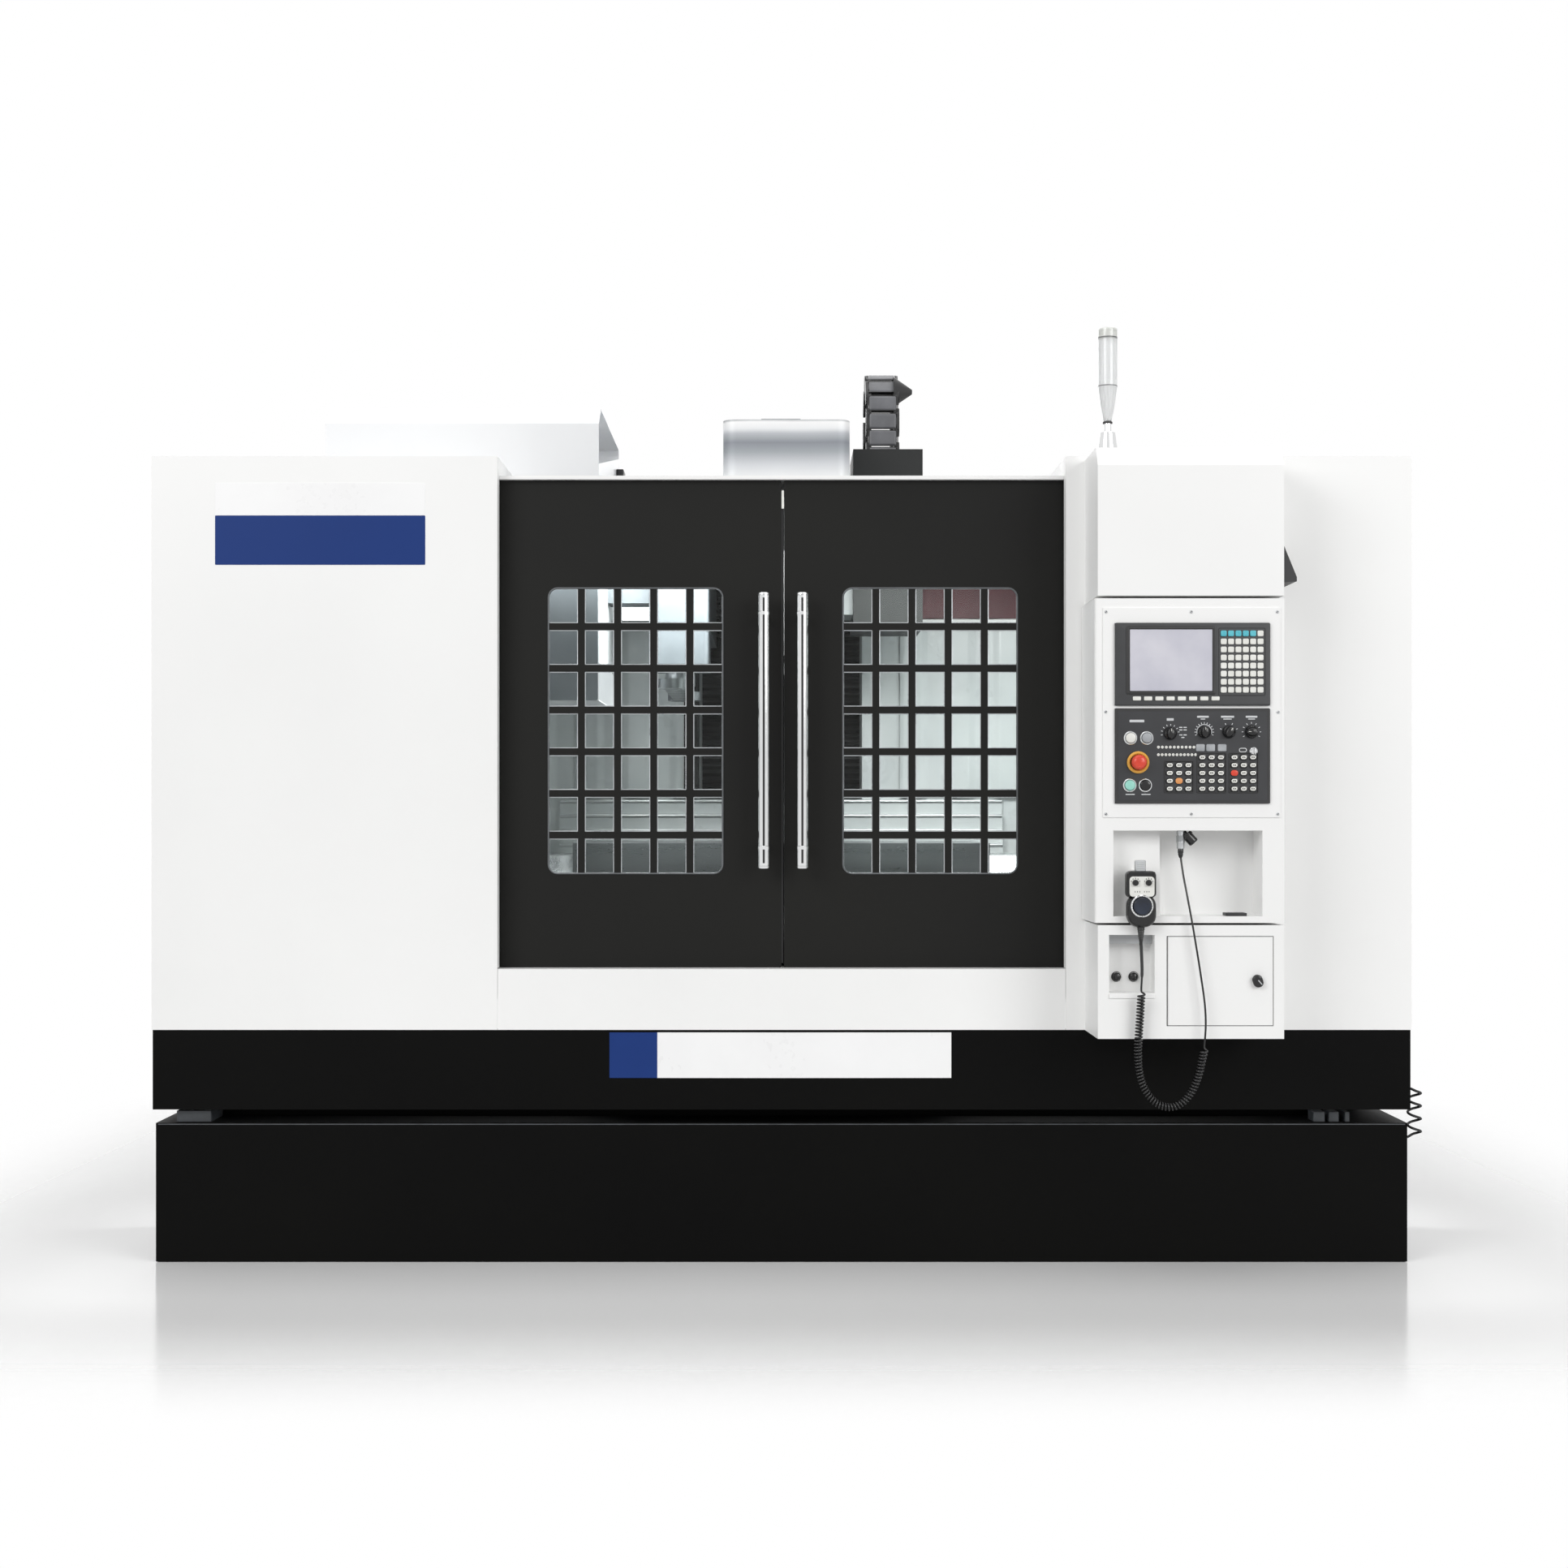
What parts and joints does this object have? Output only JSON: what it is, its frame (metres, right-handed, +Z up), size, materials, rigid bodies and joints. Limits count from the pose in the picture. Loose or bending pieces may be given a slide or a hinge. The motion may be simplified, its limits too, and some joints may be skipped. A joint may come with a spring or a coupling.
{
  "type": "cnc machining center",
  "caption": "Vertical machining centre in a white and black enclosure with sliding window doors, a side control pendant and a tool magazine.",
  "frame": {"origin": "centre of the footprint on the floor, cords left out", "axes": "+X to the operator's right along the machine's width, +Y away from the operator, +Z up"},
  "size_m": [3.446, 3.1612, 2.7437],
  "materials": {
    "white_paint": "satin powder coat",
    "black_paint": "satin powder coat",
    "grey_paint": "satin enamel",
    "casting": "painted casting with machined faces",
    "steel": "ground",
    "bright_steel": "brushed",
    "chrome": "polished",
    "clear_glass": "clear",
    "clear_plastic": "clear ribbed",
    "black_plastic": "moulded",
    "grey_plastic": "moulded",
    "white_plastic": "moulded",
    "green_plastic": "moulded",
    "red_plastic": "moulded",
    "cord_rubber": "smooth sheath"
  },
  "bodies": {
    "frame": {"bed_casting": "casting", "levelling_feet": "steel", "column_casting": "casting", "coolant_tank": "black_paint", "machine_skirt": "black_paint", "left_cover": "white_paint", "right_cover": "white_paint", "door_header": "white_paint", "front_sill": "white_paint", "splash_back": "grey_paint", "magazine_hood": "white_paint", "changer_gearbox": "grey_paint", "electrical_cabinet": "white_paint", "pendant_head_box": "white_paint", "pendant_base_box": "white_paint", "tower_light_base": "chrome", "tower_light_lens": "clear_plastic", "y_cover_outer": "bright_steel", "side_cable": "cord_rubber"},
    "left_door": {"left_door_panel": "black_paint", "left_door_glass": "clear_glass", "left_door_handle": "chrome"},
    "right_door": {"right_door_panel": "black_paint", "right_door_glass": "clear_glass", "right_door_handle": "chrome"},
    "console": {"console_box": "white_paint", "display_unit": "grey_plastic", "operator_panel": "grey_plastic", "handset_body": "black_plastic", "cord_plug": "chrome", "cord_lead_lower": "cord_rubber", "cord_coil": "cord_rubber", "cord_lead_upper": "cord_rubber"},
    "handset_dial": {"handset_dial": "black_plastic"},
    "estop": {"estop_button": "red_plastic"},
    "storage_door": {"storage_door": "white_paint"},
    "storage_latch": {"storage_latch": "black_plastic"},
    "head": {"headstock": "casting", "motor_cover": "bright_steel", "chain_box": "black_paint"},
    "spindle": {"spindle": "steel"},
    "cable_chain": {"cable_chain": "black_plastic"},
    "saddle": {"saddle": "casting", "y_cover_inner": "bright_steel", "x_covers_outer": "bright_steel"},
    "table": {"table": "steel", "x_covers_inner": "bright_steel"},
    "x_cover_left": {"x_cover_left_mid": "bright_steel"},
    "x_cover_right": {"x_cover_right_mid": "bright_steel"},
    "magazine": {"magazine_disc": "steel"},
    "changer": {"changer_arm": "steel"},
    "power_on_button": {"power_on_button": "white_plastic"},
    "power_off_button": {"power_off_button": "chrome"},
    "cycle_start_button": {"cycle_start_button": "green_plastic"},
    "feed_hold_button": {"feed_hold_button": "black_plastic"},
    "mode_knob": {"mode_knob": "black_plastic"},
    "feed_knob": {"feed_knob": "black_plastic"},
    "rapid_knob": {"rapid_knob": "black_plastic"},
    "spindle_speed_knob": {"spindle_speed_knob": "black_plastic"},
    "key_switch": {"key_switch": "steel"}
  },
  "joints": [
    {"name": "left_door_slide", "type": "slide", "parent": "frame", "child": "left_door", "axis": [-1, 0, 0], "range_m": [0, 0.69]},
    {"name": "right_door_slide", "type": "slide", "parent": "frame", "child": "right_door", "axis": [1, 0, 0], "range_m": [0, 0.69]},
    {"name": "y_slide", "type": "slide", "parent": "frame", "child": "saddle", "axis": [0, 1, 0], "range_m": [-0.24, 0.24]},
    {"name": "x_slide", "type": "slide", "parent": "saddle", "child": "table", "axis": [1, 0, 0], "range_m": [-0.45, 0.45]},
    {"name": "x_cover_left_slide", "type": "slide", "parent": "saddle", "child": "x_cover_left", "axis": [1, 0, 0], "range_m": [-0.225, 0.225]},
    {"name": "x_cover_right_slide", "type": "slide", "parent": "saddle", "child": "x_cover_right", "axis": [1, 0, 0], "range_m": [-0.225, 0.225]},
    {"name": "z_slide", "type": "slide", "parent": "frame", "child": "head", "axis": [0, 0, 1], "range_m": [-0.37, 0.14]},
    {"name": "chain_slide", "type": "slide", "parent": "frame", "child": "cable_chain", "axis": [0, 0, 1], "range_m": [-0.185, 0.07]},
    {"name": "spindle_spin", "type": "hinge", "parent": "head", "child": "spindle", "pos_m": [0, -0.08635, 1.64], "axis": [0, 0, 1], "continuous": true},
    {"name": "magazine_turn", "type": "hinge", "parent": "frame", "child": "magazine", "pos_m": [-1.01, -0.08635, 1.985], "axis": [1, 0, 0], "continuous": true},
    {"name": "changer_swing", "type": "hinge", "parent": "frame", "child": "changer", "pos_m": [-0.33, -0.08635, 1.6], "axis": [0, 0, 1], "range_deg": [0, 180]},
    {"name": "console_swivel", "type": "hinge", "parent": "frame", "child": "console", "pos_m": [1.265, -1.34335, 0.926], "axis": [0, 0, 1], "range_deg": [0, 90]},
    {"name": "storage_door_hinge", "type": "hinge", "parent": "frame", "child": "storage_door", "pos_m": [1.004, -1.52735, 0.659], "axis": [0, 0, -1], "range_deg": [0, 95], "deforming": ["cord_lead_upper"]},
    {"name": "storage_latch_turn", "type": "hinge", "parent": "storage_door", "child": "storage_latch", "pos_m": [1.231, -1.53335, 0.776], "axis": [0, 1, 0], "range_deg": [0, 90]},
    {"name": "estop_press", "type": "slide", "parent": "console", "child": "estop", "axis": [0, 1, 0], "range_m": [0, 0.006], "stiffness_N_per_m": 800},
    {"name": "handset_dial_turn", "type": "hinge", "parent": "console", "child": "handset_dial", "pos_m": [0.926, -1.53635, 0.971], "axis": [0, 1, 0], "continuous": true},
    {"name": "power_on_press", "type": "slide", "parent": "console", "child": "power_on_button", "axis": [0, 1, 0], "range_m": [0, 0.003], "stiffness_N_per_m": 400},
    {"name": "power_off_press", "type": "slide", "parent": "console", "child": "power_off_button", "axis": [0, 1, 0], "range_m": [0, 0.003], "stiffness_N_per_m": 400},
    {"name": "cycle_start_press", "type": "slide", "parent": "console", "child": "cycle_start_button", "axis": [0, 1, 0], "range_m": [0, 0.003], "stiffness_N_per_m": 400},
    {"name": "feed_hold_press", "type": "slide", "parent": "console", "child": "feed_hold_button", "axis": [0, 1, 0], "range_m": [0, 0.003], "stiffness_N_per_m": 400},
    {"name": "mode_knob_turn", "type": "hinge", "parent": "console", "child": "mode_knob", "pos_m": [1.0035, -1.54235, 1.416], "axis": [0, 1, 0], "range_deg": [-75, 75]},
    {"name": "feed_knob_turn", "type": "hinge", "parent": "console", "child": "feed_knob", "pos_m": [1.0915, -1.54235, 1.42], "axis": [0, 1, 0], "range_deg": [-140, 140]},
    {"name": "rapid_knob_turn", "type": "hinge", "parent": "console", "child": "rapid_knob", "pos_m": [1.155, -1.54235, 1.42], "axis": [0, 1, 0], "range_deg": [-45, 45]},
    {"name": "spindle_speed_knob_turn", "type": "hinge", "parent": "console", "child": "spindle_speed_knob", "pos_m": [1.213, -1.54235, 1.42], "axis": [0, 1, 0], "range_deg": [-100, 100]},
    {"name": "key_switch_turn", "type": "hinge", "parent": "console", "child": "key_switch", "pos_m": [1.219, -1.54235, 1.37], "axis": [0, 1, 0], "range_deg": [0, 90]}
  ],
  "couplings": [
    {"joint": "x_cover_left_slide", "follows": "x_slide", "ratio": 0.5},
    {"joint": "x_cover_right_slide", "follows": "x_slide", "ratio": 0.5},
    {"joint": "chain_slide", "follows": "z_slide", "ratio": 0.5}
  ]
}
